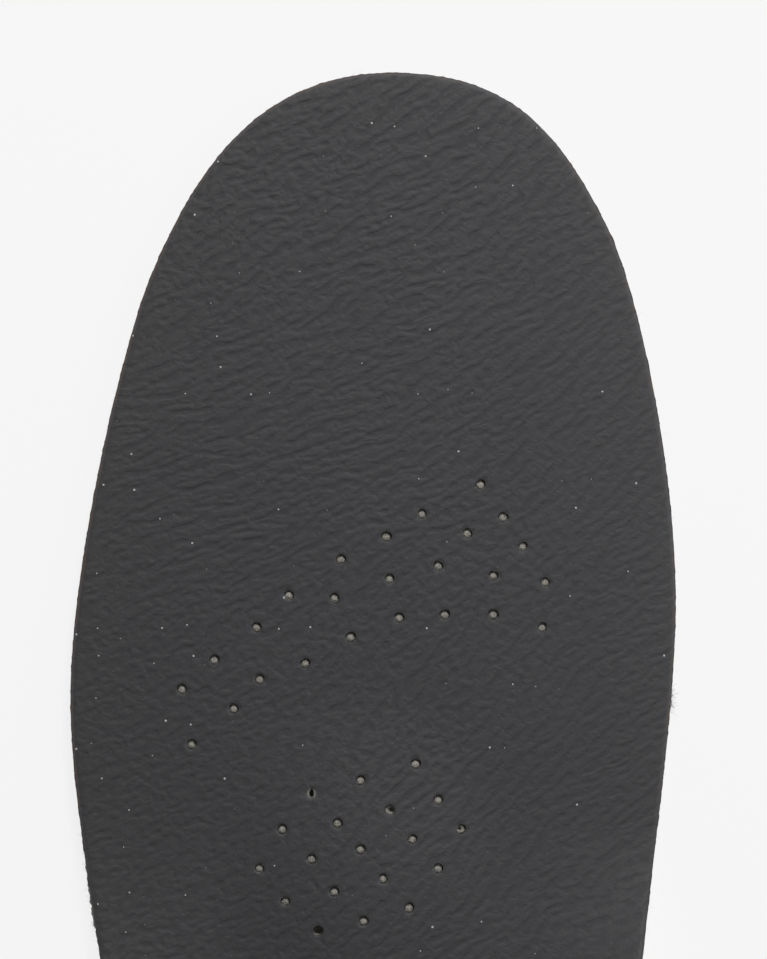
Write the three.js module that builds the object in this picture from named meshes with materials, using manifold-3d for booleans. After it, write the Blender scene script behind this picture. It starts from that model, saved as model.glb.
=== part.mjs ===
// A cushioned insole for a left shoe, EU size 42, laid flat as it comes out of the shoe.
// Millimetres. +Y points to the toe, +X to the inner (medial) side of the foot, +Z up.
// The origin is on the underside, below the middle of the insole's box.
import * as THREE from "three";
import { mergeVertices } from "three/addons/utils/BufferGeometryUtils.js";
import Module from "manifold-3d";

const { clamp, degToRad, lerp, smoothstep } = THREE.MathUtils;
const wasm = await Module();
wasm.setup();

// Layer thicknesses, from the shoe up to the foot.
const LINER = 0.6;
const BASE_MIN = 1.2;
const CUSHION = 1.8;
const COVER = 1.1;
const GLUE = 0.15;
const SHELL = 1.2;
const FIT_GAP = 0.3;

// Plan: both sides run from the toe tip to the back of the heel. turn is the side's heading
// in degrees, from 0 straight across to 90 straight back; before and after are how far the
// curve follows that heading on each side of the point.
const TOE_TIP = { x: 3, y: 135 };
const HEEL_BACK = { x: -0.5, y: -135 };
const MEDIAL_SIDE = {
  out: 1,
  toeReach: 18.2,
  heelReach: 19,
  points: [
    { x: 36.1, y: 111.1, turn: 63.5, before: 16.6, after: 9.7 },
    { x: 46.6, y: 53.3, turn: 90, before: 21.8, after: 29.4 },
    { x: 34, y: -62, turn: 90, before: 21.7, after: 13 },
    { x: 33, y: -101, turn: 90, before: 13, after: 18 },
  ],
};
const LATERAL_SIDE = {
  out: -1,
  toeReach: 20.2,
  heelReach: 19,
  points: [
    { x: -34.3, y: 103.7, turn: 67.4, before: 18.6, after: 11.1 },
    { x: -46.7, y: 38.6, turn: 90, before: 20.3, after: 29 },
    { x: -33.5, y: -98, turn: 90, before: 73.4, after: 20 },
  ],
};
const STATIONS = 36; // points down each side
const SPINE_TOE_Y = 92;
const SPINE_HEEL_Y = -100;
const RINGS = [1, 0.9, 0.76, 0.54, 0.26]; // the outline and the loops inside it

// Foot bed: how the layers rise from the flat forefoot.
const HEEL_LIFT = 3;
const LIFT_FROM_Y = 25;
const LIFT_TO_Y = -60;
const CUP_RISE = 9;
const CUP_FROM_Y = -20;
const CUP_TO_Y = -85;
const ARCH_RISE = 12;
const OUTER_RISE = 3.5;
const ARCH_Y = -38;
const ARCH_HALF_LENGTH = 58;
const RISE_POWER = 2.8;
const HEEL_CENTRE_Y = -98;
const HEEL_RADIUS_Y = 37;
const FLAT_SHARE = 0.56; // the underside is flat out to this share of the half width
const UNDERSIDE_POWER = 3;

// Inserts.
const SHELL_FRONT = { x: 0, y: -70, r: 82 }; // the front edge of the shell is an arc of this circle
const METATARSAL_PAD = { x: -1.5, y: 9, halfX: 19, halfY: 25, turn: 8, height: 2.2 };
const PAD_RIM = 0.4;
const DOME_RISE = 2;
const DOME_SPREAD = 1.3; // the bump on the surface is wider than the pad below it
const FOREFOOT_PAD = { x: -1, y: 52, halfX: 37, halfY: 16, turn: 24 };
const HEEL_PAD = { x: 0, y: -94, halfX: 17, halfY: 22, turn: 0 };

// Perforations through the cover: [x, y] of each hole, in rows from the outer to the inner side.
const HOLE_RADIUS = 0.75;
const HOLE_SIDES = 8;
const BALL_HOLES = [
  [[-29.5, 40], [-24.5, 44.5], [-18, 49.5], [-13, 54.5], [-5, 60], [2, 63.5], [7.5, 67], [16.5, 71.5]],
  [[-6, 54], [2.5, 57], [10, 59], [18.5, 57.5]],
  [[-28, 31.5], [-21.5, 37], [-17.5, 41.5], [-10.5, 44], [-3.5, 48], [4, 51], [11, 51.5], [18.5, 51.5], [26, 49.5]],
  [[14.5, 64], [20, 66.5], [23, 62], [26.5, 56.5]],
];
const ARCH_HOLES = [
  [[-9.5, 24], [-2, 26], [6.5, 28.5]],
  [[-14, 18.5], [-5.5, 19.5], [2.5, 21.5], [10, 23]],
  [[-17.5, 12.5], [-9.5, 14], [-2, 15.5], [6, 17], [13.5, 18.5]],
  [[-13.5, 7.5], [-6, 9], [1.5, 11], [10, 12.5]],
  [[-8.5, 3], [-1.5, 4.5], [5.5, 6.5]],
];

// ---- Plan shapes ----

// A side of the outline as evenly spaced points, from the toe tip to the back of the heel.
function sidePoints(side) {
  const path = new THREE.Path();
  path.moveTo(TOE_TIP.x, TOE_TIP.y);
  let leave = new THREE.Vector2(TOE_TIP.x + side.out * side.toeReach, TOE_TIP.y);
  for (const point of side.points) {
    const turn = degToRad(point.turn);
    const heading = new THREE.Vector2(side.out * Math.cos(turn), -Math.sin(turn));
    const at = new THREE.Vector2(point.x, point.y);
    const arrive = at.clone().addScaledVector(heading, -point.before);
    path.bezierCurveTo(leave.x, leave.y, arrive.x, arrive.y, at.x, at.y);
    leave = at.clone().addScaledVector(heading, point.after);
  }
  const arriveX = HEEL_BACK.x + side.out * side.heelReach;
  path.bezierCurveTo(leave.x, leave.y, arriveX, HEEL_BACK.y, HEEL_BACK.x, HEEL_BACK.y);
  return path.getSpacedPoints(STATIONS);
}

// A plan is a loop of points, seen from above and counter-clockwise, whose two halves mirror
// each other, with the centre that each point's rings shrink towards.
function insolePlan() {
  const lateral = sidePoints(LATERAL_SIDE);
  const medial = sidePoints(MEDIAL_SIDE);
  const loop = [...lateral, ...medial.slice(1, -1).reverse()];
  const centres = loop.map((point, i) => {
    const station = Math.min(i, loop.length - i);
    const middle = lateral[station].clone().add(medial[station]).multiplyScalar(0.5);
    const y = clamp(middle.y, SPINE_HEEL_Y, SPINE_TOE_Y);
    return new THREE.Vector2(0, y);
  });
  return { loop, centres };
}

function ellipsePlan({ x, y, halfX, halfY, turn }, sides, extra = 0) {
  const centre = new THREE.Vector2(x, y);
  const loop = [];
  for (let i = 0; i < sides; i++) {
    const angle = (i / sides) * 2 * Math.PI;
    const point = new THREE.Vector2(
      x + (halfX + extra) * Math.cos(angle),
      y + (halfY + extra) * Math.sin(angle),
    );
    loop.push(point.rotateAround(centre, degToRad(turn)));
  }
  return { loop, centres: loop.map(() => centre) };
}

// ---- Solids ----

// The solid between two heights over a plan; bottom and top are functions of x and y.
function sheet({ loop, centres }, rings, bottom, top) {
  const count = loop.length;
  const flat = rings.flatMap((share) =>
    loop.map((point, i) => centres[i].clone().lerp(point, share)),
  );
  const positions = [];
  for (const height of [top, bottom]) {
    for (const { x, y } of flat) {
      positions.push(x, y, height(x, y));
    }
  }
  const faces = [];
  const quad = (a, b, c, d) => faces.push([a, b, c], [a, c, d]);
  for (let ring = 0; ring + 1 < rings.length; ring++) {
    for (let i = 0; i < count; i++) {
      const j = (i + 1) % count;
      const outer = ring * count;
      const inner = outer + count;
      quad(outer + i, outer + j, inner + j, inner + i);
    }
  }
  const last = (rings.length - 1) * count;
  for (let i = 1; i + 1 < count / 2; i++) {
    quad(last + i, last + i + 1, last + count - i - 1, last + count - i);
  }
  faces.push([last, last + 1, last + count - 1]);
  faces.push([last + count / 2 - 1, last + count / 2, last + count / 2 + 1]);

  const under = flat.length;
  const index = [];
  for (const [a, b, c] of faces) {
    index.push(a, b, c, under + a, under + c, under + b);
  }
  for (let i = 0; i < count; i++) {
    const j = (i + 1) % count;
    index.push(under + i, under + j, j, under + i, j, i);
  }
  const geometry = new THREE.BufferGeometry();
  geometry.setAttribute("position", new THREE.Float32BufferAttribute(positions, 3));
  geometry.setIndex(index);
  return solid(geometry);
}

function solid(geometry) {
  const bare = geometry.clone();
  bare.deleteAttribute("normal");
  bare.deleteAttribute("uv");
  const merged = mergeVertices(bare, 1e-4);
  return new wasm.Manifold(
    new wasm.Mesh({
      numProp: 3,
      vertProperties: merged.attributes.position.array,
      triVerts: new Uint32Array(merged.index.array),
    }),
  );
}

function uprightCylinder(x, y, radius, height, sides) {
  const geometry = new THREE.CylinderGeometry(radius, radius, height, sides);
  geometry.rotateX(Math.PI / 2);
  geometry.translate(x, y, height / 2);
  return solid(geometry);
}

function mesh(name, shape, color, roughness, metalness = 0) {
  const { vertProperties, triVerts } = shape.getMesh();
  const geometry = new THREE.BufferGeometry();
  geometry.setAttribute("position", new THREE.Float32BufferAttribute(vertProperties, 3));
  geometry.setIndex(new THREE.Uint32BufferAttribute(triVerts, 1));
  geometry.computeVertexNormals();
  const material = new THREE.MeshStandardMaterial({ color, roughness, metalness });
  const made = new THREE.Mesh(geometry, material);
  made.name = name;
  return made;
}

// ---- Foot bed heights ----

// 0 on the centre line, 1 at the edge.
function outwardShare(x, y) {
  const halfWidth =
    x > 0
      ? lerp(33.5, 46.6, smoothstep(y, -62, 53.3))
      : lerp(33.5, 46.7, smoothstep(y, -98, 38.6));
  const behind = Math.min(0, y - HEEL_CENTRE_Y) / HEEL_RADIUS_Y;
  return Math.hypot(x / halfWidth, behind);
}

// How high the edge stands above the middle: the heel cup, the arch and a low outer wall.
function edgeRise(x, y) {
  const cup = CUP_RISE * smoothstep(-y, -CUP_FROM_Y, -CUP_TO_Y);
  const along = clamp((y - ARCH_Y) / ARCH_HALF_LENGTH, -1, 1);
  const side = x > 0 ? ARCH_RISE : OUTER_RISE;
  return cup + side * (1 - along ** 2) ** 2;
}

function heelLift(y) {
  return HEEL_LIFT * smoothstep(-y, -LIFT_FROM_Y, -LIFT_TO_Y);
}

// The underside is flat where it rests in the shoe and curves up to the rim.
function linerBottom(x, y) {
  const share = (outwardShare(x, y) - FLAT_SHARE) / (1 - FLAT_SHARE);
  const edge = edgeRise(x, y) + 0.6 * heelLift(y);
  return edge * Math.max(0, share) ** UNDERSIDE_POWER;
}

function baseTop(x, y) {
  const rise = edgeRise(x, y) * outwardShare(x, y) ** RISE_POWER;
  return LINER + GLUE + BASE_MIN + heelLift(y) + rise;
}

// How far out a point is on an ellipse, from 0 at its centre to 1 on it.
function ellipseShare({ x, y, halfX, halfY, turn }, atX, atY) {
  const point = new THREE.Vector2(atX - x, atY - y);
  point.rotateAround(new THREE.Vector2(), degToRad(-turn));
  return Math.hypot(point.x / halfX, point.y / halfY);
}

// The bump that the metatarsal pad raises in the layers above it.
function dome(x, y) {
  const share = ellipseShare(METATARSAL_PAD, x, y) / DOME_SPREAD;
  return share < 1 ? DOME_RISE * (1 - share ** 2) ** 2 : 0;
}

const lifted = (height, by) => (x, y) => height(x, y) + by;
const linerTop = lifted(linerBottom, LINER);
const baseBottom = lifted(linerTop, GLUE);
const cushionBottom = lifted(baseTop, GLUE);
const cushionTop = (x, y) => cushionBottom(x, y) + CUSHION + dome(x, y);
const coverBottom = lifted(cushionTop, GLUE);
const coverTop = lifted(coverBottom, COVER);

// ---- The pieces ----

const plan = insolePlan();
const ABOVE = 40; // taller than the insole, for cutting right through it

function bottomLiner() {
  return sheet(plan, RINGS, linerBottom, linerTop);
}

// The stiff shell under the heel and arch. grow makes it the recess that it sits in.
function supportShell(grow = 0) {
  const rings = grow > 0 ? [RINGS[1] + grow / 30, ...RINGS.slice(1)] : RINGS.slice(1);
  const bottom = lifted(baseTop, -SHELL - grow);
  const top = lifted(baseTop, grow);
  const { x, y, r } = SHELL_FRONT;
  const front = uprightCylinder(x, y, r + grow, ABOVE, 72);
  return sheet(plan, rings, bottom, top).intersect(front);
}

// The dome behind the ball of the foot. grow makes it the hollow in the cushion above it.
function metatarsalPad(grow = 0) {
  const height = (x, y) => {
    const share = Math.min(1, ellipseShare(METATARSAL_PAD, x, y));
    return FIT_GAP + PAD_RIM + METATARSAL_PAD.height * (1 - share ** 2);
  };
  const bottom = lifted(baseTop, grow > 0 ? 0 : FIT_GAP);
  const top = (x, y) => baseTop(x, y) + height(x, y) + grow;
  return sheet(ellipsePlan(METATARSAL_PAD, 32, grow), [1, 0.7, 0.35], bottom, top);
}

function flatPad(pad, from, to, grow = 0) {
  return sheet(ellipsePlan(pad, 40, grow), [1], () => from, () => to);
}

const FOREFOOT_FLOOR = LINER + GLUE;
const HEEL_PAD_FROM = FOREFOOT_FLOOR + GLUE;
const HEEL_PAD_TO = FOREFOOT_FLOOR + BASE_MIN + HEEL_LIFT - SHELL - 2 * FIT_GAP;

function base() {
  return sheet(plan, RINGS, baseBottom, baseTop)
    .subtract(supportShell(FIT_GAP))
    .subtract(flatPad(FOREFOOT_PAD, 0, FOREFOOT_FLOOR + 2 * BASE_MIN, FIT_GAP))
    .subtract(flatPad(HEEL_PAD, 0, HEEL_PAD_TO + BASE_MIN, FIT_GAP));
}

function cushionLayer() {
  return sheet(plan, RINGS, cushionBottom, cushionTop).subtract(metatarsalPad(FIT_GAP));
}

function topCover() {
  const whole = sheet(plan, RINGS, coverBottom, coverTop);
  return [...BALL_HOLES, ...ARCH_HOLES].flat().reduce(
    (cover, [x, y]) => cover.subtract(uprightCylinder(x, y, HOLE_RADIUS, ABOVE, HOLE_SIDES)),
    whole,
  );
}

const insole = new THREE.Group();
insole.add(
  mesh("top_cover", topCover(), 0x414143, 0.72),
  mesh("cushion_layer", cushionLayer(), 0x8d887d, 0.95),
  mesh("metatarsal_pad", metatarsalPad(), 0x6f7f92, 0.8),
  mesh("forefoot_pad", flatPad(FOREFOOT_PAD, FOREFOOT_FLOOR, FOREFOOT_FLOOR + BASE_MIN), 0x7a8f9c, 0.85),
  mesh("support_shell", supportShell(), 0x2c2e31, 0.45),
  mesh("heel_pad", flatPad(HEEL_PAD, HEEL_PAD_FROM, HEEL_PAD_TO), 0x8796a3, 0.6),
  mesh("base", base(), 0x4b4b4d, 0.9),
  mesh("bottom_liner", bottomLiner(), 0xe8e7e3, 0.95),
);

export default insole;
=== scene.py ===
import math

import bpy
import numpy as np
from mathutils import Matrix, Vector
from mathutils.geometry import delaunay_2d_cdt


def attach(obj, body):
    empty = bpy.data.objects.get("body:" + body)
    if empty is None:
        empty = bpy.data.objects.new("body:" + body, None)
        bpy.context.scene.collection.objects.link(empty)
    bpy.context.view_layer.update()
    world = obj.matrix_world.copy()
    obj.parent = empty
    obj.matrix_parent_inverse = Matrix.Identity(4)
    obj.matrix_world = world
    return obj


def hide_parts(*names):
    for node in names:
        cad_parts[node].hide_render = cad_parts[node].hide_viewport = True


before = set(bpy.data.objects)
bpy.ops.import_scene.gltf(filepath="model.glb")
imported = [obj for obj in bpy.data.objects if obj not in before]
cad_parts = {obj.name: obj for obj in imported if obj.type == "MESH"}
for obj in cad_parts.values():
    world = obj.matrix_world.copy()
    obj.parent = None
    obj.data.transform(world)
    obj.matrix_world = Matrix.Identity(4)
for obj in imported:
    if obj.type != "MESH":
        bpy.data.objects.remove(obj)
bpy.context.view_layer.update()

MM = 0.001

# ---- Sizes shared with the CAD ----

LINER = 0.6
BASE_MIN = 1.2
CUSHION = 1.8
COVER = 1.1
GLUE = 0.15
SHELL = 1.2
FIT_GAP = 0.3

TOE_TIP = (3.0, 135.0)
HEEL_BACK = (-0.5, -135.0)
# Points are (x, y, heading, reach before, reach after); the heading is in degrees, from 0
# straight across to 90 straight back, and the reaches are the lengths of the Bezier handles.
MEDIAL_SIDE = {
    "out": 1, "toe_reach": 18.2, "heel_reach": 19.0,
    "points": [
        (36.1, 111.1, 63.5, 16.6, 9.7),
        (46.6, 53.3, 90, 21.8, 29.4),
        (34.0, -62.0, 90, 21.7, 13.0),
        (33.0, -101.0, 90, 13.0, 18.0),
    ],
}
LATERAL_SIDE = {
    "out": -1, "toe_reach": 20.2, "heel_reach": 19.0,
    "points": [
        (-34.3, 103.7, 67.4, 18.6, 11.1),
        (-46.7, 38.6, 90, 20.3, 29.0),
        (-33.5, -98.0, 90, 73.4, 20.0),
    ],
}

HEEL_LIFT = 3.0
LIFT_SPAN = (25.0, -60.0)
CUP_RISE = 9.0
CUP_SPAN = (-20.0, -85.0)
ARCH_RISE = 12.0
OUTER_RISE = 3.5
ARCH_Y = -38.0
ARCH_HALF_LENGTH = 58.0
RISE_POWER = 2.8
HEEL_CENTRE_Y = -98.0
HEEL_RADIUS_Y = 37.0
FLAT_SHARE = 0.56
UNDERSIDE_POWER = 3

SHELL_FRONT = (0.0, -70.0, 82.0)
METATARSAL_PAD = {"x": -1.5, "y": 9.0, "half_x": 19.0, "half_y": 25.0, "turn": 8}
PAD_RIM = 0.4
PAD_HEIGHT = 2.2
DOME_RISE = 2.0
DOME_SPREAD = 1.3
FOREFOOT_PAD = {"x": -1.0, "y": 52.0, "half_x": 37.0, "half_y": 16.0, "turn": 24}
HEEL_PAD = {"x": 0.0, "y": -94.0, "half_x": 17.0, "half_y": 22.0, "turn": 0}

# Perforations, in rows from the outer to the inner side of the foot.
HOLE_RADIUS = 0.75
BALL_HOLES = [
    [(-29.5, 40), (-24.5, 44.5), (-18, 49.5), (-13, 54.5), (-5, 60), (2, 63.5), (7.5, 67),
     (16.5, 71.5)],
    [(-6, 54), (2.5, 57), (10, 59), (18.5, 57.5)],
    [(-28, 31.5), (-21.5, 37), (-17.5, 41.5), (-10.5, 44), (-3.5, 48), (4, 51), (11, 51.5),
     (18.5, 51.5), (26, 49.5)],
    [(14.5, 64), (20, 66.5), (23, 62), (26.5, 56.5)],
]
ARCH_HOLES = [
    [(-9.5, 24), (-2, 26), (6.5, 28.5)],
    [(-14, 18.5), (-5.5, 19.5), (2.5, 21.5), (10, 23)],
    [(-17.5, 12.5), (-9.5, 14), (-2, 15.5), (6, 17), (13.5, 18.5)],
    [(-13.5, 7.5), (-6, 9), (1.5, 11), (10, 12.5)],
    [(-8.5, 3), (-1.5, 4.5), (5.5, 6.5)],
]
HOLES = [hole for row in BALL_HOLES + ARCH_HOLES for hole in row]
PINCHED_HOLES = [(-9.5, 24)]  # the leather has closed up to a slit
DEEP_HOLES = [(-9.5, 24), (-8.5, 3)]  # the punch went on into the foam
# Where only part of the foam came out: (across, up, radius) of the pit, from the hole's middle.
TORN_HOLES = {(2.5, 21.5): (0.22, -0.05, 0.42), (13.5, 18.5): (-0.26, 0.0, 0.24)}

# ---- Fineness and small shapes that only the looks need ----

OUTLINE_STEP = 0.35
LEATHER_STEP = 0.56  # in the toe half, where the grain shows best
LEATHER_SQUASH = 0.52  # the rows of its mesh are closer together than the points in a row,
LEATHER_TURN = 18  # and turned by the degrees that most creases are, so that they follow the creases
HEEL_STEP = 0.95
LONG_RELIEF = 0.15
FINE_RELIEF = 0.08
PORE_RELIEF = 0.05
CREASE_LEVEL = 0.5  # the grain field counts as a crease below minus this
CREASE_STEEPNESS = 3.0
MODELLED_RELIEF = 0.5  # how much of the grain's relief is in the mesh; the rest is bump
COVER_VISUAL = 1.16  # the layers swell to nearly close the glue lines
EDGE_ROUND = 1.2  # how far in the leather's edge starts to roll down
EDGE_DROP = 0.5
CUT_WOBBLE = 0.13  # how unevenly the outline was cut
LIP = 0.42  # width of the rounded lip of a hole
FOAM_SWELL = 0.6  # how far the foam swells into a hole,
FOAM_SWELL_RADIUS = 0.73  # over this radius round its middle
PIERCED_DEPTH = 1.3
TORN_DEPTH = 1.6
SEED = 7


def smoothstep(value, low, high):
    t = np.clip((value - low) / (high - low), 0, 1)
    return t * t * (3 - 2 * t)


# ---- Foot bed heights, as in the CAD ----

def outward_share(x, y):
    """0 on the centre line, 1 at the edge."""
    inner = 33.5 + (46.6 - 33.5) * smoothstep(y, -62, 53.3)
    outer = 33.5 + (46.7 - 33.5) * smoothstep(y, -98, 38.6)
    behind = np.minimum(0, y - HEEL_CENTRE_Y) / HEEL_RADIUS_Y
    return np.hypot(x / np.where(x > 0, inner, outer), behind)


def edge_rise(x, y):
    cup = CUP_RISE * smoothstep(-y, -CUP_SPAN[0], -CUP_SPAN[1])
    along = np.clip((y - ARCH_Y) / ARCH_HALF_LENGTH, -1, 1)
    return cup + np.where(x > 0, ARCH_RISE, OUTER_RISE) * (1 - along ** 2) ** 2


def heel_lift(y):
    return HEEL_LIFT * smoothstep(-y, -LIFT_SPAN[0], -LIFT_SPAN[1])


def liner_bottom(x, y):
    share = np.maximum(0, (outward_share(x, y) - FLAT_SHARE) / (1 - FLAT_SHARE))
    return (edge_rise(x, y) + 0.6 * heel_lift(y)) * share ** UNDERSIDE_POWER


def base_top(x, y):
    rise = edge_rise(x, y) * outward_share(x, y) ** RISE_POWER
    return LINER + GLUE + BASE_MIN + heel_lift(y) + rise


def ellipse_share(pad, x, y):
    turn = math.radians(pad["turn"])
    along = (x - pad["x"]) * math.cos(turn) + (y - pad["y"]) * math.sin(turn)
    across = (y - pad["y"]) * math.cos(turn) - (x - pad["x"]) * math.sin(turn)
    return np.hypot(along / pad["half_x"], across / pad["half_y"])


def cushion_top(x, y):
    share = np.minimum(1, ellipse_share(METATARSAL_PAD, x, y) / DOME_SPREAD)
    return base_top(x, y) + GLUE + CUSHION + DOME_RISE * (1 - share ** 2) ** 2


def cover_top(x, y):
    return cushion_top(x, y) + GLUE + COVER


# ---- Outline ----

def bezier(a, b, c, d, count=60):
    t = np.linspace(0, 1, count)[:, None]
    return (1 - t) ** 3 * a + 3 * (1 - t) ** 2 * t * b + 3 * (1 - t) * t ** 2 * c + t ** 3 * d


def side_curve(side):
    """One side of the outline, from the toe tip to the back of the heel."""
    stretches = []
    start = np.array(TOE_TIP)
    leave = start + (side["out"] * side["toe_reach"], 0)
    for x, y, turn, before, after in side["points"]:
        heading = np.array((side["out"] * math.cos(math.radians(turn)), -math.sin(math.radians(turn))))
        at = np.array((x, y))
        stretches.append(bezier(start, leave, at - before * heading, at)[:-1])
        start, leave = at, at + after * heading
    end = np.array(HEEL_BACK)
    stretches.append(bezier(start, leave, end + (side["out"] * side["heel_reach"], 0), end))
    return np.concatenate(stretches)


def evenly(loop, step):
    """A closed loop again, with points step apart."""
    closed = np.vstack([loop, loop[:1]])
    along = np.concatenate([[0], np.cumsum(np.linalg.norm(np.diff(closed, axis=0), axis=1))])
    at = np.linspace(0, along[-1], int(along[-1] / step), endpoint=False)
    return np.stack([np.interp(at, along, closed[:, k]) for k in range(2)], axis=1)


def outline(step):
    """The whole outline, counter-clockwise from above, starting at the toe tip."""
    down, up = side_curve(LATERAL_SIDE), side_curve(MEDIAL_SIDE)[::-1]
    return evenly(np.vstack([down[:-1], up[:-1]]), step)


def outward_normals(loop):
    along = np.roll(loop, -1, axis=0) - np.roll(loop, 1, axis=0)
    along /= np.linalg.norm(along, axis=1)[:, None]
    return np.stack([along[:, 1], -along[:, 0]], axis=1)


def inside(loop, points):
    """Which points lie inside a closed loop."""
    x, y = points[:, 0], points[:, 1]
    found = np.zeros(len(points), bool)
    for (x0, y0), (x1, y1) in zip(loop, np.roll(loop, -1, axis=0)):
        crosses = (y0 > y) != (y1 > y)
        if crosses.any():
            at = x0 + (y[crosses] - y0) * (x1 - x0) / (y1 - y0)
            found[crosses] ^= x[crosses] < at
    return found


def distance_to(loop, points, chunk=4000):
    """How far each point is from the nearest point of a loop."""
    best = np.empty(len(points))
    for i in range(0, len(points), chunk):
        part = points[i:i + chunk]
        gap = (part[:, None, 0] - loop[None, :, 0]) ** 2 + (part[:, None, 1] - loop[None, :, 1]) ** 2
        best[i:i + chunk] = np.sqrt(gap.min(axis=1))
    return best


# ---- Noise on arrays, the same every run ----

def hashed(ix, iy, seed):
    n = (ix * 374761393 + iy * 668265263 + seed * 1442695041) & 0xFFFFFFFF
    n = ((n ^ (n >> 13)) * 1274126177) & 0xFFFFFFFF
    return ((n ^ (n >> 16)) & 0xFFFF) / 65535.0 * 2 * math.pi


def gradient_noise(x, y, seed):
    """Smooth noise around 0, one bump per unit."""
    ix, iy = np.floor(x).astype(np.int64), np.floor(y).astype(np.int64)
    fx, fy = x - ix, y - iy
    sx, sy = fx ** 3 * (fx * (fx * 6 - 15) + 10), fy ** 3 * (fy * (fy * 6 - 15) + 10)

    def corner(dx, dy):
        angle = hashed(ix + dx, iy + dy, seed)
        return np.cos(angle) * (fx - dx) + np.sin(angle) * (fy - dy)

    near = corner(0, 0) * (1 - sx) + corner(1, 0) * sx
    far = corner(0, 1) * (1 - sx) + corner(1, 1) * sx
    return near * (1 - sy) + far * sy


# ---- Meshes ----

def new_object(name, points, faces):
    mesh = bpy.data.meshes.new(name)
    mesh.from_pydata((np.asarray(points) * MM).tolist(), [], [tuple(int(i) for i in f) for f in faces])
    mesh.validate()
    made = bpy.data.objects.new(name, mesh)
    bpy.context.collection.objects.link(made)
    for polygon in mesh.polygons:
        polygon.use_smooth = True
    return made


def point_grid(step, loop, squash=1.0, turn=0.0, stagger=0.5):
    """A grid of points that covers a loop. Its rows can be squashed together and turned by
    some degrees; every second row is moved along by the stagger, half a step when triangular."""
    angle = math.radians(turn)
    axes = np.array(((math.cos(angle), math.sin(angle)), (-math.sin(angle), math.cos(angle))))
    turned = loop @ axes.T
    low, high = turned.min(axis=0), turned.max(axis=0)
    row = step * squash * math.sqrt(3) / 2
    y, x = np.mgrid[0:int((high[1] - low[1]) / row) + 2, 0:int((high[0] - low[0]) / step) + 2]
    grid = np.stack([low[0] + (x + stagger * (y % 2)) * step, low[1] + y * row], axis=-1)
    return grid.reshape(-1, 2) @ axes


def triangulate(loop, hole_loops, extra):
    """Triangles over a loop with holes: (points, triangles), the loops' points first."""
    points = np.vstack([loop, *hole_loops, extra])
    edges, start = [], 0
    for ring in [loop, *hole_loops]:
        count = len(ring)
        edges += [(start + i, start + (i + 1) % count) for i in range(count)]
        start += count
    made = delaunay_2d_cdt([Vector(p) for p in points], edges, [], 0, 1e-7)
    new_points = np.array([tuple(p) for p in made[0]])
    triangles = np.array(made[2])
    origin = np.full(len(new_points), -1)
    for i, sources in enumerate(made[3]):
        if sources:
            origin[i] = sources[0]
    middles = new_points[triangles].mean(axis=1)
    keep = inside(loop, middles)
    for ring in hole_loops:
        centre = ring.mean(axis=0)
        near = np.flatnonzero(np.hypot(*(middles - centre).T) < 2 * HOLE_RADIUS)
        keep[near[inside(ring, middles[near])]] = False
    place = np.full(len(points), -1)
    place[origin[origin >= 0]] = np.flatnonzero(origin >= 0)
    return new_points, triangles[keep], place


def slab(name, loop, hole_loops, top_extra, bottom_extra, top, bottom, wall_rows, bulge=None):
    """A closed layer: its top and bottom sheets, joined by walls at the rim and in the holes.
    top and bottom give heights; bulge moves the rows of the outer wall, from 0 to 1 down it."""
    top_points, top_faces, top_place = triangulate(loop, hole_loops, top_extra)
    low_points, low_faces, low_place = triangulate(loop, hole_loops, bottom_extra)
    points = [np.column_stack([top_points, top(top_points)]),
              np.column_stack([low_points, bottom(low_points)])]
    base = len(top_points)
    faces = [top_faces, low_faces[:, ::-1] + base]
    total = base + len(low_points)
    start = 0
    for n, ring in enumerate([loop, *hole_loops]):
        count = len(ring)
        upper, lower = top_place[start:start + count], low_place[start:start + count] + base
        rows = [upper]
        high, low = points[0][upper], points[1][lower - base]
        normals = outward_normals(ring)
        for k in range(1, wall_rows + 1):
            share = k / (wall_rows + 1)
            row = high * (1 - share) + low * share
            if bulge is not None:
                row[:, :2] += normals * bulge(ring, share, n == 0)[:, None]
            points.append(row)
            rows.append(np.arange(total, total + count))
            total += count
        rows.append(lower)
        for above, below in zip(rows, rows[1:]):
            after_above, after_below = np.roll(above, -1), np.roll(below, -1)
            quads = np.stack([above, below, after_below, after_above], axis=1)
            faces.append(quads if n == 0 else quads[:, ::-1])
        start += count
    return new_object(name, np.vstack(points), [f for block in faces for f in block])


def rings_inside(loop, depths):
    normals = outward_normals(loop)
    return [loop - normals * depth for depth in depths]


def add_attribute(obj, name, values):
    attribute = obj.data.attributes.new(name, "FLOAT", "POINT")
    attribute.data.foreach_set("value", np.asarray(values, np.float32))


def coordinates(obj):
    flat = np.empty(len(obj.data.vertices) * 3, np.float32)
    obj.data.vertices.foreach_get("co", flat)
    return flat.reshape(-1, 3).astype(float) / MM


# ---- Leather grain ----

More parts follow.
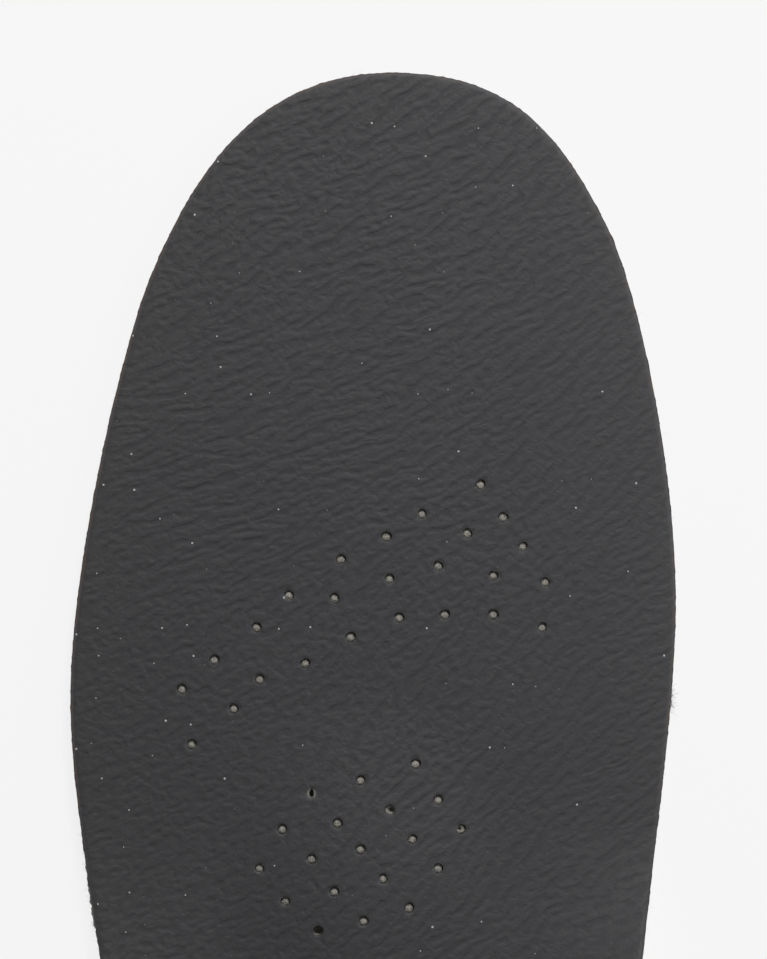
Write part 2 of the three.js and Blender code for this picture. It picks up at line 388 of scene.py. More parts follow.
class Grain:
    """The leather's wrinkles on a fine grid: long soft cushions between thin creases."""

    STEP = 0.2
    LOW = (-49.0, -138.0)
    SHAPE = (1380, 490)

    def __init__(self, seed):
        self.rng = np.random.default_rng(seed)
        rows, columns = self.SHAPE
        self.column, self.row = np.meshgrid(np.arange(columns) * 1.0, np.arange(rows) * 1.0)
        self.x = self.LOW[0] + self.column * self.STEP
        self.y = self.LOW[1] + self.row * self.STEP
        angle = np.radians(self.lean() + 7 * self.blotches(1.5) + 3 * self.blotches(7))
        self.heading = np.cos(angle), np.sin(angle)
        self.netlike = self.round_patches()
        self.wrinkle = self.cushions(sigma=0.31, wide=0.56, length=1.5, roundness=0.17)
        self.fine_wrinkle = self.cushions(sigma=0.17, wide=0.32, length=0.7, roundness=0.33)
        self.depth = self.crease_depth()
        height = self.height()
        self.swell = self.blur(height, 1.2)
        self.relief = self.blur(height, 0.1) - self.swell

    def lean(self):
        """How far the wrinkles turn from straight across, in degrees, counter-clockwise."""
        toe = 33 - 0.1 * self.x + 14 * smoothstep(self.x, 5, 42)
        toe -= 12 * np.exp(-((self.y - 79) / 13) ** 2) * (1 - smoothstep(self.x, 0, 30))
        ball = 50 - 16 * smoothstep(self.x, 18, 40) - 20 * smoothstep(-self.x, -5, 25)
        low = smoothstep(-self.y, -68, -42)
        return toe * (1 - low) + ball * low

    def round_patches(self):
        """How round and net-like the grain is: by the small toe, on and outside the ball."""
        outer_ball = smoothstep(-self.x, -12, 28) * smoothstep(-self.y, -62, -40)
        small_toe = smoothstep(-np.hypot(self.x + 25, self.y - 112), -26, -8)
        ball_middle = np.exp(-((self.x - 18) / 17) ** 2 - ((self.y - 58) / 11) ** 2)
        under_arch = np.exp(-((self.x - 5) / 12) ** 2 - ((self.y - 31) / 10) ** 2)
        return 0.5 * outer_ball + 0.25 * small_toe + 0.5 * ball_middle + 0.35 * under_arch

    def crease_depth(self):
        """The creases are deepest over the toes, and shallower towards both sides of the ball."""
        inner = smoothstep(self.x, 5, 38)
        toes = smoothstep(self.y, 95, 120) * (1 - inner)
        outer_ball = smoothstep(-self.x, 8, 34) * smoothstep(-self.y, -75, -30)
        return 0.9 - 0.24 * inner + 0.12 * toes - 0.16 * outer_ball

    def blur(self, field, sigma):
        """A Gaussian blur, sigma in millimetres."""
        down = np.fft.fftfreq(self.SHAPE[0], self.STEP)[:, None]
        across = np.fft.rfftfreq(self.SHAPE[1], self.STEP)[None]
        keep = np.exp(-2 * (math.pi * sigma) ** 2 * (across ** 2 + down ** 2))
        return np.fft.irfft2(np.fft.rfft2(field) * keep, self.SHAPE)

    def blotches(self, sigma):
        field = self.blur(self.rng.standard_normal(self.SHAPE), sigma)
        return (field - field.mean()) / field.std()

    def sample(self, field, column, row):
        column = np.clip(column, 0, self.SHAPE[1] - 1.001)
        row = np.clip(row, 0, self.SHAPE[0] - 1.001)
        i, j = row.astype(int), column.astype(int)
        down, across = row - i, column - j
        near = field[i, j] * (1 - across) + field[i, j + 1] * across
        far = field[i + 1, j] * (1 - across) + field[i + 1, j + 1] * across
        return near * (1 - down) + far * down

    def streak(self, field, length, stride=0.3):
        """Smears a field along the wrinkles; length is in millimetres."""
        total, weight = field.copy(), 1.0
        for sign in (1, -1):
            column, row = self.column.copy(), self.row.copy()
            for k in range(1, int(2.2 * length / stride) + 1):
                across, up = (self.sample(part, column, row) for part in self.heading)
                column += across * sign * stride / self.STEP
                row += up * sign * stride / self.STEP
                share = math.exp(-0.5 * (k * stride / length) ** 2)
                total += share * self.sample(field, column, row)
                weight += share
        return total / weight

    def cushions(self, sigma, wide, length, roundness):
        """A field around 0, drawn out along the wrinkles: its deep valleys are the creases."""
        long = self.streak(self.blotches(sigma), length)
        long -= self.blur(long, wide)
        even = self.blotches(sigma * 1.15)
        even -= self.blur(even, wide)
        share = roundness + (1 - roundness) * self.netlike
        field = long / long.std() * np.sqrt(1 - share) + even / even.std() * np.sqrt(share)
        field /= np.sqrt(self.blur(field ** 2, 1.8))
        shift = 0.2 / self.STEP
        column = self.column + shift * self.blotches(0.7)
        return self.sample(field / field.std(), column, self.row + shift * self.blotches(0.7))

    def height(self):
        long, fine = (1 / (1 + np.exp(-CREASE_STEEPNESS * (field + CREASE_LEVEL)))
                      for field in (self.wrinkle, self.fine_wrinkle))
        return LONG_RELIEF * self.depth * long + FINE_RELIEF * fine

    def at(self, field, points):
        column = (points[:, 0] - self.LOW[0]) / self.STEP
        return self.sample(field, column, (points[:, 1] - self.LOW[1]) / self.STEP)


def slow_waves(x, y):
    """The leather isn't quite flat: it lies in low, broad waves."""
    return 0.1 * gradient_noise(x / 16, y / 22, 6)


def hole_loop(x, y, radius, rng, count=20):
    """A punched hole: nearly round, a little stretched and uneven."""
    angles = np.arange(count) / count * 2 * math.pi
    oval = 0.05 * np.sin(2 * angles + rng.uniform(0, 6))
    wobble = 1 + oval + 0.03 * np.sin(3 * angles + rng.uniform(0, 6))
    ring = np.stack([np.cos(angles), np.sin(angles)], axis=1) * (radius * wobble)[:, None]
    if (x, y) in PINCHED_HOLES:
        ring = ring * (0.45, 0.95)
    return ring + (x, y)


def cover_loops():
    rng = np.random.default_rng(SEED)
    loop = outline(OUTLINE_STEP)
    x, y = loop.T
    wobble = 0.8 * gradient_noise(x / 2.3, y / 2.3, 8) + 0.8 * gradient_noise(x / 0.85, y / 0.85, 9)
    loop = loop + outward_normals(loop) * (CUT_WOBBLE * wobble)[:, None]
    radii = HOLE_RADIUS * rng.uniform(0.96, 1.08, len(HOLES))
    holes = [hole_loop(x, y, r, rng) for (x, y), r in zip(HOLES, radii)]
    return loop, holes


def hole_distance(points, reach=3.0):
    """How far each point is from the nearest hole's wall, up to reach."""
    best = np.full(len(points), reach)
    for x, y in HOLES:
        best = np.minimum(best, np.hypot(points[:, 0] - x, points[:, 1] - y) - HOLE_RADIUS)
    return best


def fine_half(y):
    """1 in the finely meshed toe half; the grain is shallower where the mesh is coarse."""
    return 0.35 + 0.65 * smoothstep(y, -10, -3)


def leather_cover():
    loop, holes = cover_loops()
    smooth_loop = outline(OUTLINE_STEP)
    edge_rings = rings_inside(loop, [0.08, 0.22, 0.42, 0.7, 1.05])
    lips = []
    for (x, y), ring in zip(HOLES, holes):
        for grow in (0.1, 0.22, LIP, 0.75):
            lips.append(ring + (ring - (x, y)) * grow / HOLE_RADIUS)
    fine = point_grid(LEATHER_STEP, loop, LEATHER_SQUASH, LEATHER_TURN, 0)
    coarse = point_grid(HEEL_STEP, loop)
    grid = np.vstack([fine[fine[:, 1] > -3.0], coarse[coarse[:, 1] < -3.5]])
    grid = grid[inside(loop, grid)]
    depth = distance_to(loop, grid)
    grid = grid[(depth > 1.35) & (hole_distance(grid) > 1.0)]
    top_extra = np.vstack([*edge_rings, *lips, grid])
    plain = point_grid(4.0, loop)
    plain = plain[inside(loop, plain)]
    plain = plain[(distance_to(loop, plain) > 2) & (hole_distance(plain) > 1.0)]
    grain = Grain(SEED)

    def top(points):
        x, y = points.T
        into = np.clip(distance_to(smooth_loop, points) / EDGE_ROUND, 0, 1)
        roll = EDGE_DROP * (1 - np.sqrt(np.clip(1 - (1 - into) ** 2, 0, 1)))
        lip = np.clip(1 - hole_distance(points) / LIP, 0, 1) ** 2
        relief = MODELLED_RELIEF * grain.at(grain.relief, points) * fine_half(y) + slow_waves(x, y)
        return cover_top(x, y) + relief * smoothstep(into, 0, 1) - roll - 0.16 * lip

    def bottom(points):
        return cushion_top(*points.T) + GLUE - (COVER_VISUAL - COVER)

    def ragged(ring, share, outer):
        return (0.05 if outer else -0.03) * np.sin(np.arange(len(ring)) * 1.7 + 9 * share)

    obj = slab("leather_cover", loop, holes, top_extra, plain, top, bottom, 3, ragged)
    at = coordinates(obj)[:, :2]
    add_attribute(obj, "wrinkle", grain.at(grain.wrinkle, at))
    add_attribute(obj, "fine_wrinkle", grain.at(grain.fine_wrinkle, at) * fine_half(at[:, 1]))
    add_attribute(obj, "crease_depth", grain.at(grain.depth, at) * fine_half(at[:, 1]))
    add_attribute(obj, "swell", grain.at(grain.swell, at) * fine_half(at[:, 1]))
    add_attribute(obj, "from_edge", distance_to(smooth_loop, at))
    add_attribute(obj, "from_hole", hole_distance(at))
    return obj, loop, holes


def layer(name, loop, step, top, bottom, wall_rows=2, depths=(0.4, 1.2), extra=(), bulge=None):
    """A layer without holes, meshed at the given step."""
    grid = point_grid(step, loop)
    grid = grid[inside(loop, grid)]
    grid = grid[distance_to(loop, grid) > max(depths) + 0.4 * step]
    inner = np.vstack([*rings_inside(loop, depths), grid, *extra])
    return slab(name, loop, [], inner, inner, top, bottom, wall_rows, bulge)


def ellipse_loop(pad, step, grow=0.0):
    turn = math.radians(pad["turn"])
    count = int(math.pi * (pad["half_x"] + pad["half_y"]) / step)
    angle = np.arange(count) / count * 2 * math.pi
    x, y = (pad["half_x"] + grow) * np.cos(angle), (pad["half_y"] + grow) * np.sin(angle)
    return np.stack([pad["x"] + x * math.cos(turn) - y * math.sin(turn),
                     pad["y"] + x * math.sin(turn) + y * math.cos(turn)], axis=1)


def rounded(loop, points, width, drop):
    """How much a rounded edge takes off the height."""
    into = np.clip(distance_to(loop, points) / width, 0, 1)
    return drop * (1 - np.sqrt(np.clip(1 - (1 - into) ** 2, 0, 1)))


# ---- Materials ----

class Material:
    """A node material around one Principled shader, with short calls for the usual nodes."""

    def __init__(self, name, colour, roughness, **sockets):
        self.material = bpy.data.materials.new(name)
        self.material.use_nodes = True
        self.tree = self.material.node_tree
        self.shader = self.tree.nodes["Principled BSDF"]
        self.shader.inputs["Base Color"].default_value = (*colour, 1)
        self.shader.inputs["Roughness"].default_value = roughness
        for key, value in sockets.items():
            self.shader.inputs[key.replace("_", " ")].default_value = value
        place = self.tree.nodes.new("ShaderNodeTexCoord").outputs["Object"]
        self.place = self.vector("SCALE", place, Scale=1 / MM)

    def put(self, socket, value):
        if isinstance(value, bpy.types.NodeSocket):
            self.tree.links.new(value, socket)
        else:
            socket.default_value = value

    def node(self, kind, inputs=(), **settings):
        made = self.tree.nodes.new(kind)
        for key, value in settings.items():
            setattr(made, key, value)
        for key, value in dict(inputs).items():
            self.put(made.inputs[key], value)
        return made

    def maths(self, operation, *values, clamp=False):
        made = self.node("ShaderNodeMath", operation=operation, use_clamp=clamp)
        for socket, value in zip(made.inputs, values):
            self.put(socket, value)
        return made.outputs[0]

    def vector(self, operation, *values, **named):
        made = self.node("ShaderNodeVectorMath", operation=operation)
        for socket, value in zip(made.inputs, values):
            self.put(socket, value)
        for key, value in named.items():
            self.put(made.inputs[key], value)
        return made.outputs[0]

    def split(self, vector):
        return self.node("ShaderNodeSeparateXYZ", {"Vector": vector}).outputs

    def join(self, x, y, z=0.0):
        return self.node("ShaderNodeCombineXYZ", {"X": x, "Y": y, "Z": z}).outputs[0]

    def noise(self, vector, scale, detail=2.0, roughness=0.5, distortion=0.0):
        made = self.node("ShaderNodeTexNoise", {
            "Vector": vector, "Scale": scale, "Detail": detail, "Roughness": roughness,
            "Distortion": distortion})
        return made.outputs["Fac"]

    def voronoi(self, vector, scale, feature="F1", dimensions="3D"):
        made = self.node("ShaderNodeTexVoronoi", feature=feature, voronoi_dimensions=dimensions)
        self.put(made.inputs["Vector"], vector)
        self.put(made.inputs["Scale"], scale)
        return made.outputs

    def attribute(self, name):
        return self.node("ShaderNodeAttribute", attribute_name=name).outputs["Fac"]

    def remap(self, value, low, high, to_low=0.0, to_high=1.0, kind="SMOOTHSTEP"):
        made = self.node("ShaderNodeMapRange", {
            "Value": value, "From Min": low, "From Max": high, "To Min": to_low, "To Max": to_high},
            interpolation_type=kind)
        return made.outputs["Result"]

    def mix(self, factor, a, b, blend="MIX"):
        made = self.node("ShaderNodeMix", data_type="RGBA", blend_type=blend)
        self.put(made.inputs[0], factor)
        self.put(made.inputs[6], a)
        self.put(made.inputs[7], b)
        return made.outputs[2]

    def colour(self, value):
        self.put(self.shader.inputs["Base Color"], value)

    def roughness(self, value):
        self.put(self.shader.inputs["Roughness"], value)

    def bump(self, height, distance_mm, strength=1.0):
        """Bumps of the given height in millimetres where height is 1."""
        made = self.node("ShaderNodeBump", {
            "Height": height, "Distance": distance_mm * MM, "Strength": strength})
        self.put(self.shader.inputs["Normal"], made.outputs["Normal"])


def grey(value, warm=0.0):
    """A linear colour of one grey, a little warm or cool."""
    return (value * (1 + warm), value, value * (1 - warm), 1.0)


def cushion_shape(m, name):
    """The grain's cushions, 0 in a crease and nearly 1 on top."""
    offset = -CREASE_STEEPNESS * CREASE_LEVEL
    steep = m.maths("MULTIPLY_ADD", m.attribute(name), -CREASE_STEEPNESS, offset)
    return m.maths("DIVIDE", 1.0, m.maths("ADD", 1.0, m.maths("EXPONENT", steep)))


def grain_bump(m):
    """The part of the grain that isn't in the mesh, with pores. Gives the long cushions' shape."""
    long = m.maths("MULTIPLY", cushion_shape(m, "wrinkle"), m.attribute("crease_depth"))
    fine = cushion_shape(m, "fine_wrinkle")
    pores = m.noise(m.place, 2.8, 2)
    height = m.maths("SUBTRACT", m.maths("MULTIPLY", long, LONG_RELIEF), m.attribute("swell"))
    height = m.maths("ADD", height, m.maths("MULTIPLY", fine, FINE_RELIEF))
    height = m.maths("MULTIPLY", height, 1 - MODELLED_RELIEF)
    m.bump(m.maths("ADD", height, m.maths("MULTIPLY", pores, PORE_RELIEF)), 1.0)
    return long


def charcoal(m, from_edge, across):
    """The dyed leather: faintly mottled, with painted sheen lightening it near the edge, and painted
    lighter to the inner side where more light falls.
    """
    mottle = m.remap(m.noise(m.place, 1 / 14, 1), 0.3, 0.7)
    colour = m.mix(mottle, (0.0496, 0.0496, 0.0531, 1), (0.0514, 0.0514, 0.0549, 1))
    # painted sheen: the colour is lightened towards grey within some millimetres of the edge
    dust_and_sheen = m.maths("MULTIPLY", m.maths("EXPONENT", m.maths("DIVIDE", from_edge, -9.0)), 0.12)
    colour = m.mix(dust_and_sheen, colour, grey(0.1))
    # painted light: the colour grows lighter across towards the inner side, as if lit more there
    painted_side_light = m.maths("MULTIPLY_ADD", across, 0.0015, 1.0)
    return m.vector("SCALE", colour, Scale=painted_side_light)


def edge_highlights_and_raw_cut(m, colour, from_edge, across, along):
    """A painted highlight along the rolled edge, strongest round the toes, raw brown at the outer cut
    edge, and a painted highlight band along the inner one.
    """
    # painted highlight: a lighter band just inside the edge, where the rolled edge catches the light
    painted_rim_highlight = m.maths("MULTIPLY", m.remap(from_edge, 0.62, 0.3), m.remap(along, 0, 35, 0.1, 0.5))
    painted_rim_highlight = m.maths("MULTIPLY", painted_rim_highlight, m.remap(from_edge, 0.02, 0.22))
    hue = m.remap(m.noise(m.place, 0.25, 2), 0.4, 0.6)
    rim_highlight_colour = m.mix(hue, (0.138, 0.116, 0.1, 1), (0.126, 0.112, 0.132, 1))
    colour = m.mix(painted_rim_highlight, colour, rim_highlight_colour)
    raw = m.maths("MULTIPLY", m.remap(from_edge, 0.32, 0.12), m.remap(across, 8, -8, 0.05, 0.8))
    raw = m.maths("MULTIPLY", raw, m.remap(along, 5, 35, 0.15, 1.0))
    colour = m.mix(raw, colour, (0.105, 0.083, 0.068, 1))
    # painted highlight: a lighter grey band on the inner side, where the rolled edge faces the light
    painted_edge_highlight = m.maths("MULTIPLY", m.remap(from_edge, 0.42, 0.58), m.remap(from_edge, 0.76, 0.6))
    painted_edge_highlight = m.maths("MULTIPLY", painted_edge_highlight, m.remap(across, 0, 30, 0.0, 0.55))
    return m.mix(painted_edge_highlight, colour, (0.085, 0.082, 0.077, 1))


def hole_highlight_and_walls(m, colour):
    """Lips painted lighter as a highlight, and a lighter grey in the cut walls."""
    from_hole = m.attribute("from_hole")
    # painted highlight: a lighter ring on each hole's rounded lip
    painted_lip_highlight = m.maths("MULTIPLY", m.remap(from_hole, 0.3, 0.08), m.remap(from_hole, -0.02, 0.08))
    colour = m.mix(m.maths("MULTIPLY", painted_lip_highlight, 0.5), colour, grey(0.095))
    cut = m.remap(from_hole, 0.02, -0.1)
    return m.mix(cut, colour, (0.19, 0.18, 0.166, 1))


def dust_specks(m, colour, across):
    """Single specks of white dust, of uneven size, more of them on the outer side."""
    cells = m.voronoi(m.place, 0.22, dimensions="2D")
    radius = m.maths("MULTIPLY", m.split(cells["Color"])[0], 0.038)
    near = m.maths("LESS_THAN", cells["Distance"], radius)
    rarity = m.remap(across, -44, -12, 0.35, 0.78)
    some = m.maths("GREATER_THAN", m.split(cells["Color"])[1], rarity)
    return m.mix(m.maths("MULTIPLY", near, some), colour, grey(0.5))


def leather_material():
    m = Material("charcoal_leather", (0.04, 0.04, 0.043), 0.62, Specular_IOR_Level=0.35)
    long = grain_bump(m)
    from_edge = m.attribute("from_edge")
    across, along = m.split(m.place)[0], m.split(m.place)[1]
    colour = charcoal(m, from_edge, across)
    colour = edge_highlights_and_raw_cut(m, colour, from_edge, across, along)
    colour = hole_highlight_and_walls(m, colour)
    m.colour(dust_specks(m, colour, across))
    m.roughness(m.remap(long, 0.0, 0.8, 0.74, 0.6))
    return m.material


def foam_material(name, light, pit_shade, cell_mm, depth_mm, roughness=0.92):
    """Open-cell foam: small pits of uneven size, their floors painted darker as shade."""
    m = Material(name, light[:3], roughness, Specular_IOR_Level=0.25)
    sway = m.join(m.noise(m.place, 2), m.noise(m.place, 3))
    warp = m.vector("ADD", m.place, m.vector("SCALE", sway, Scale=0.5))
    big = m.voronoi(warp, 1 / cell_mm)["Distance"]
    small = m.voronoi(warp, 2.6 / cell_mm)["Distance"]
    pits = m.maths("ADD", m.remap(big, 0.1, 0.5), m.maths("MULTIPLY", m.remap(small, 0.1, 0.5), 0.5))
    # painted shade: the pits are coloured darker where they sink
    m.colour(m.mix(m.maths("DIVIDE", pits, 1.5, clamp=True), pit_shade, light))
    m.bump(pits, depth_mm)
    return m.material


def plastic_material():
    m = Material("shell_plastic", (0.026, 0.027, 0.03), 0.5)
    spark = m.noise(m.place, 5.0, 3, 0.6)
    m.colour(m.mix(m.noise(m.place, 0.08, 3), grey(0.022), grey(0.032)))
    m.roughness(m.remap(spark, 0.3, 0.7, 0.4, 0.58))
    m.bump(spark, 0.02)
    return m.material


def fleece_material():
    """White non-woven: tangled fibres, pressed flat in a diamond pattern of small dots."""
    m = Material("white_fleece", (0.8, 0.79, 0.76), 0.95, Sheen_Weight=0.3, Specular_IOR_Level=0.2)
    tangle = m.noise(m.place, 2.4, 5, 0.68, 1.6)
    strand = m.noise(m.vector("MULTIPLY", m.place, (1.0, 5.0, 1.0)), 1.5, 3, 0.6, 0.8)
    fibres = m.maths("ADD", m.maths("MULTIPLY", tangle, 0.6), m.maths("MULTIPLY", strand, 0.5))
    x, y = m.split(m.place)[:2]
    pitch = 2.2
    rows = m.maths("SINE", m.maths("MULTIPLY", m.maths("ADD", x, y), 2 * math.pi / pitch))
    columns = m.maths("SINE", m.maths("MULTIPLY", m.maths("SUBTRACT", x, y), 2 * math.pi / pitch))
    dots = m.remap(m.maths("MULTIPLY", rows, columns), 0.45, 0.8)
    height = m.maths("SUBTRACT", fibres, m.maths("MULTIPLY", dots, 0.9))
    m.bump(height, 0.09)
    shade = m.mix(m.remap(fibres, 0.3, 0.75), (0.66, 0.65, 0.62, 1), (0.84, 0.83, 0.8, 1))
    m.colour(m.mix(m.maths("MULTIPLY", dots, 0.35), shade, (0.55, 0.54, 0.51, 1)))
    return m.material


def fibre_material():
    """Loose fibres, greyed with dust."""
    m = Material("loose_fibres", (0.5, 0.5, 0.54), 0.9, Sheen_Weight=0.2, Specular_IOR_Level=0.2)
    along = m.noise(m.place, 1.3, 3)
    dust_and_sheen = m.mix(m.remap(along, 0.3, 0.7), (0.3, 0.3, 0.36, 1), (0.52, 0.52, 0.58, 1))
    m.colour(m.mix(m.remap(m.split(m.place)[0], 5, -5), dust_and_sheen, (0.8, 0.79, 0.77, 1)))
    m.roughness(m.remap(along, 0.3, 0.7, 0.82, 0.95))
    m.bump(m.noise(m.place, 9.0, 2), 0.01)
    return m.material


def assign(obj, material):
    obj.data.materials.clear()
    obj.data.materials.append(material)


# ---- The pieces ----

def cushion_layer():
    """Latex foam: it swells a little into most holes, and is pierced or torn under a few."""
    loop = outline(0.9)
    floors = []
    for x, y in HOLES:
        for radius in (0.0, 0.2, 0.4, 0.58, 0.72, 0.95, 1.3):
            count = 1 if radius == 0 else 14
            angle = np.arange(count) / count * 2 * math.pi
            floors.append(np.stack([x + radius * np.cos(angle), y + radius * np.sin(angle)], axis=1))

    def top(points):
        height = cushion_top(*points.T) + 0.03
        for hole in HOLES:
            away = np.hypot(points[:, 0] - hole[0], points[:, 1] - hole[1]) / FOAM_SWELL_RADIUS
            push = -PIERCED_DEPTH if hole in DEEP_HOLES else FOAM_SWELL
            height += push * np.clip(1 - away ** 2, 0, 1) ** 0.35
        for hole, (x, y, radius) in TORN_HOLES.items():
            away = np.hypot(points[:, 0] - hole[0] - x, points[:, 1] - hole[1] - y) / radius
            height -= TORN_DEPTH * np.exp(-away ** 2)
        return height

    def bottom(points):
        return base_top(*points.T) + GLUE - 0.03

    def cells(ring, share, outer):
        uneven = gradient_noise(ring[:, 0] / 1.1, ring[:, 1] + 3 * share, 11)
        return 0.12 * np.sin(math.pi * share) + 0.05 * uneven

    grid = point_grid(2.4, loop)
    grid = grid[inside(loop, grid)]
    grid = grid[(distance_to(loop, grid) > 2.2) & (hole_distance(grid) > 1.2)]
    extra = np.vstack([*rings_inside(loop, (0.4, 1.2)), grid, *floors])
    plain = np.vstack([*rings_inside(loop, (0.4, 1.2)), grid])
    return slab("cushion_foam", loop, [], extra, plain, top, bottom, 4, cells)


def moulded_base():
    """Dark foam base: the footbed's shape, with skinned sides."""
    loop = outline(0.9)

    def top(points):
        return base_top(*points.T)

    def bottom(points):
        return liner_bottom(*points.T) + LINER + GLUE - 0.06

    def soft(ring, share, outer):
        uneven = gradient_noise(ring[:, 0] / 2, ring[:, 1] / 2 + share, 12)
        return 0.1 * np.sin(math.pi * share) + 0.03 * uneven

    return layer("footbed_base", loop, 2.4, top, bottom, 5, (0.4, 1.2, 2.2), bulge=soft)


def fleece_liner():
    """White fleece: its cut edge stands a little proud where it was trimmed by hand."""
    loop = outline(0.36)
    y = loop[:, 1]
    outer_side = loop[:, 0] < 0
    proud = 0.58 * np.exp(-((y - 7.5) / 7.5) ** 4) * outer_side
    proud += 0.5 * np.exp(-((y - 38.2) / 2.0) ** 2) * ~outer_side
    ragged = (0.06 + 0.5 * proud) * gradient_noise(loop[:, 0] / 0.6, y / 0.6, 14)
    loop = loop + outward_normals(loop) * (proud + ragged)[:, None]

    def bottom(points):
        x, y = points.T
        fuzz = 0.02 * (1 + gradient_noise(x / 0.9, y / 0.9, 15))
        return liner_bottom(x, y) + fuzz * (liner_bottom(x, y) > 0.02)

    def top(points):
        return liner_bottom(*points.T) + LINER + 0.02

    return layer("fleece_liner", loop, 1.2, top, bottom, 2, (0.3, 0.8))


def metatarsal_dome():
    loop = ellipse_loop(METATARSAL_PAD, 0.9)

    def bottom(points):
        return base_top(*points.T) + FIT_GAP

    def top(points):
        share = np.minimum(1, ellipse_share(METATARSAL_PAD, *points.T))
        return bottom(points) + PAD_RIM + (PAD_HEIGHT - FIT_GAP) * (1 - share ** 2)

    return layer("metatarsal_dome", loop, 1.6, top, bottom)


def flat_pad(name, pad, low, high):
    """A flat insert with rounded edges and shallow round dimples."""
    loop = ellipse_loop(pad, 0.7)

    def top(points):
        x, y = points.T
        dimples = np.clip(np.sin(x * 1.2) * np.sin(y * 1.2), 0, 1) ** 2
        return high - rounded(loop, points, 0.8, 0.3 * (high - low)) - 0.12 * dimples

    def bottom(points):
        return low + rounded(loop, points, 0.6, 0.2 * (high - low))

    return layer(name, loop, 0.9, top, bottom)


def shell_loop():
    """The insole's outline drawn in, and cut off in front by an arc."""
    loop = outline(1.0)
    centre = np.stack([np.zeros(len(loop)), np.clip(loop[:, 1], -100, 92)], axis=1)
    inset = centre + (loop - centre) * 0.895
    x0, y0, radius = SHELL_FRONT
    away = inset - (x0, y0)
    within = inset[np.hypot(*away.T) <= radius]
    first, last = within[0] - (x0, y0), within[-1] - (x0, y0)
    start, end = math.atan2(last[1], last[0]), math.atan2(first[1], first[0])
    angle = np.linspace(start, end, 70)[1:-1]
    arc = np.stack([x0 + radius * np.cos(angle), y0 + radius * np.sin(angle)], axis=1)
    return evenly(np.vstack([within, arc]), 0.9)


def arch_shell():
    loop = shell_loop()

    def top(points):
        return base_top(*points.T) - 0.02 - rounded(loop, points, 1.0, 0.3)

    def bottom(points):
        return base_top(*points.T) - SHELL + rounded(loop, points, 0.8, 0.25)

    return layer("arch_shell", loop, 2.0, top, bottom, 2, (0.3, 0.8, 1.5))


def liner_fuzz():
    """Loose fibres at the fleece's cut edge, thickest where it stands proud."""
    rng = np.random.default_rng(SEED + 1)
    loop = outline(0.25)
    normals = outward_normals(loop)
    x, y = loop.T
    fringe = 5 * np.exp(-((y - 7.5) / 8) ** 4) * (x < 0)
    weight = 0.15 + fringe + 9 * np.exp(-((y - 38.2) / 1.1) ** 2) * (x > 0)
    starts = rng.choice(len(loop), 900, p=weight / weight.sum())
    points, faces = [], []
    for i in starts:
        caught = x[i] > 0 and abs(y[i] - 38.2) < 2.5
        height = rng.uniform(0.3, 2.6) if caught else rng.uniform(0.1, 0.5)
        thick = rng.uniform(0.03, 0.07) if caught else rng.uniform(0.014, 0.032)
        length = rng.uniform(0.4, 1.1) if caught else rng.uniform(0.3, 1.0)
        out = np.append(normals[i], rng.uniform(-0.1, 0.5))
        side = np.array((-normals[i][1], normals[i][0], 0)) * rng.uniform(-1.4, 1.4)
        curl = rng.uniform(-0.7, 0.7, 3)
        foot = np.array((x[i], y[i], liner_bottom(x[i], y[i]) + height))
        foot[:2] -= normals[i] * 0.15
        first = len(points)
        for k in range(5):
            t = k / 4
            at = foot + (out * t + side * t * 0.6 + curl * t * t) * length
            at[2] = max(at[2], 0.03)
            radius = thick * (1 - 0.5 * t)
            points.append(at + (radius, 0, 0))
            points.append(at + (-radius / 2, 0, radius))
            points.append(at + (-radius / 2, 0, -radius))
        for k in range(4):
            a = first + 3 * k
            faces += [(a + j, a + (j + 1) % 3, a + 3 + (j + 1) % 3, a + 3 + j) for j in range(3)]
        faces += [(first + 2, first + 1, first), (first + 12, first + 13, first + 14)]
    return new_object("liner_fuzz", points, faces)


# ---- Stage ----

FRAME_CENTRE = (1.555, 72.29)
FRAME_HEIGHT = 147.69
LENS = 150.0
SENSOR = 36.0
FLOOR_GLOW = 0.83
AMBIENT = 0.17
BACKDROP = 0.88


def camera():
    data = bpy.data.cameras.new("camera")
    data.lens = LENS
    data.sensor_width = SENSOR
    made = bpy.data.objects.new("camera", data)
    bpy.context.collection.objects.link(made)
    x, y = FRAME_CENTRE
    z = float(cover_top(0.0, 90.0)) + FRAME_HEIGHT * LENS / SENSOR
    made.location = Vector((x, y, z)) * MM
    bpy.context.scene.camera = made


def floor():
    """A plain pale ground that glows a little, so that it shows as bright as in the photo."""
    size = 3.0
    mesh = bpy.data.meshes.new("floor")
    corners = [(-size, -size, 0), (size, -size, 0), (size, size, 0), (-size, size, 0)]
    mesh.from_pydata(corners, [], [(0, 1, 2, 3)])
    made = bpy.data.objects.new("floor", mesh)
    bpy.context.collection.objects.link(made)
    made.location.z = -0.0001
    material = bpy.data.materials.new("pale_floor")
    material.use_nodes = True
    shader = material.node_tree.nodes["Principled BSDF"]
    shader.inputs["Base Color"].default_value = (0.12, 0.12, 0.12, 1)
    shader.inputs["Roughness"].default_value = 1.0
    shader.inputs["Specular IOR Level"].default_value = 0.0
    shader.inputs["Emission Color"].default_value = (1, 1, 1, 1)
    shader.inputs["Emission Strength"].default_value = FLOOR_GLOW
    mesh.materials.append(material)


def area_light(name, direction, distance, size, watts):
    """A square lamp that shines at the ball of the foot; direction points to the lamp."""
    data = bpy.data.lights.new(name, "AREA")
    data.size = size
    data.energy = watts
    made = bpy.data.objects.new(name, data)
    bpy.context.collection.objects.link(made)
    aim = Vector((0, 0.05, 0))
    made.location = aim + Vector(direction).normalized() * distance
    made.rotation_mode = "QUATERNION"
    made.rotation_quaternion = (aim - made.location).to_track_quat("-Z", "Y")


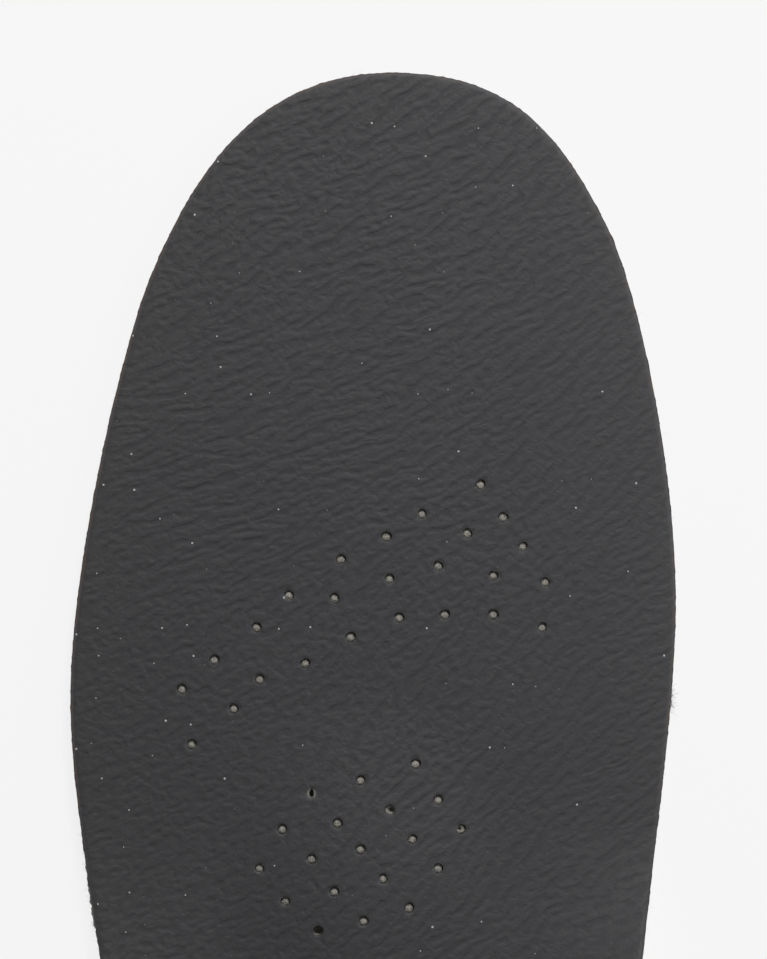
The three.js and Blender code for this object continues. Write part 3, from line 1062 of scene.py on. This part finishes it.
def lights():
    area_light("key", (0.12, 0.6, 0.8), 0.7, 0.17, 2.68)
    area_light("side", (0.7, 0.15, 1.0), 0.4, 0.3, 0.26)
    world = bpy.data.worlds.new("studio")
    world.use_nodes = True
    tree = world.node_tree
    dim = tree.nodes["Background"]
    dim.inputs["Strength"].default_value = AMBIENT
    dim.inputs["Color"].default_value = (1, 1, 1, 1)
    backdrop = tree.nodes.new("ShaderNodeBackground")
    backdrop.inputs["Strength"].default_value = BACKDROP
    backdrop.inputs["Color"].default_value = (1, 1, 1, 1)
    seen = tree.nodes.new("ShaderNodeLightPath").outputs["Is Camera Ray"]
    mixed = tree.nodes.new("ShaderNodeMixShader")
    tree.links.new(seen, mixed.inputs[0])
    tree.links.new(dim.outputs[0], mixed.inputs[1])
    tree.links.new(backdrop.outputs[0], mixed.inputs[2])
    tree.links.new(mixed.outputs[0], tree.nodes["World Output"].inputs["Surface"])
    bpy.context.scene.world = world
    bpy.context.scene.view_settings.view_transform = "Standard"
    bpy.context.scene.view_settings.look = "None"


# ---- Assembly ----

def loop_area(loop):
    x, y = loop.T
    return abs(float(np.dot(x, np.roll(y, -1)) - np.dot(y, np.roll(x, -1)))) / 2


def place(obj, node, slot, material):
    assign(obj, material)
    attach(obj, "root")
    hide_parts(node)
    return obj


camera()
floor()
lights()

FOREFOOT_FLOOR = LINER + GLUE
HEEL_PAD_TOP = FOREFOOT_FLOOR + BASE_MIN + HEEL_LIFT - SHELL - 2 * FIT_GAP

cover, cover_loop, cover_holes = leather_cover()
place(cover, "top_cover", "cover_leather", leather_material())
latex = foam_material("latex_foam", (0.41, 0.39, 0.345, 1), (0.17, 0.16, 0.145, 1), 0.42, 0.1)
cushion = place(cushion_layer(), "cushion_layer", "latex_foam", latex)
dense = foam_material("pad_foam", (0.16, 0.21, 0.27, 1), (0.1, 0.13, 0.17, 1), 0.3, 0.04)
dome = place(metatarsal_dome(), "metatarsal_pad", "pad_foam", dense)
forefoot = flat_pad("forefoot_insert", FOREFOOT_PAD, FOREFOOT_FLOOR, FOREFOOT_FLOOR + BASE_MIN)
place(forefoot, "forefoot_pad", "pad_foam", dense)
place(arch_shell(), "support_shell", "shell_plastic", plastic_material())
gel = foam_material("heel_gel", (0.26, 0.32, 0.38, 1), (0.2, 0.26, 0.32, 1), 1.2, 0.02, 0.45)
heel = flat_pad("heel_insert", HEEL_PAD, FOREFOOT_FLOOR + GLUE, HEEL_PAD_TOP)
place(heel, "heel_pad", "heel_gel", gel)
skinned = foam_material("base_foam", (0.075, 0.075, 0.077, 1), (0.04, 0.04, 0.042, 1), 0.35, 0.05)
footbed = place(moulded_base(), "base", "base_foam", skinned)
fleece = fleece_material()
liner = place(fleece_liner(), "bottom_liner", "liner_fabric", fleece)
fuzz = liner_fuzz()
assign(fuzz, fibre_material())
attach(fuzz, "root")

cut_area = loop_area(outline(OUTLINE_STEP)) * MM * MM
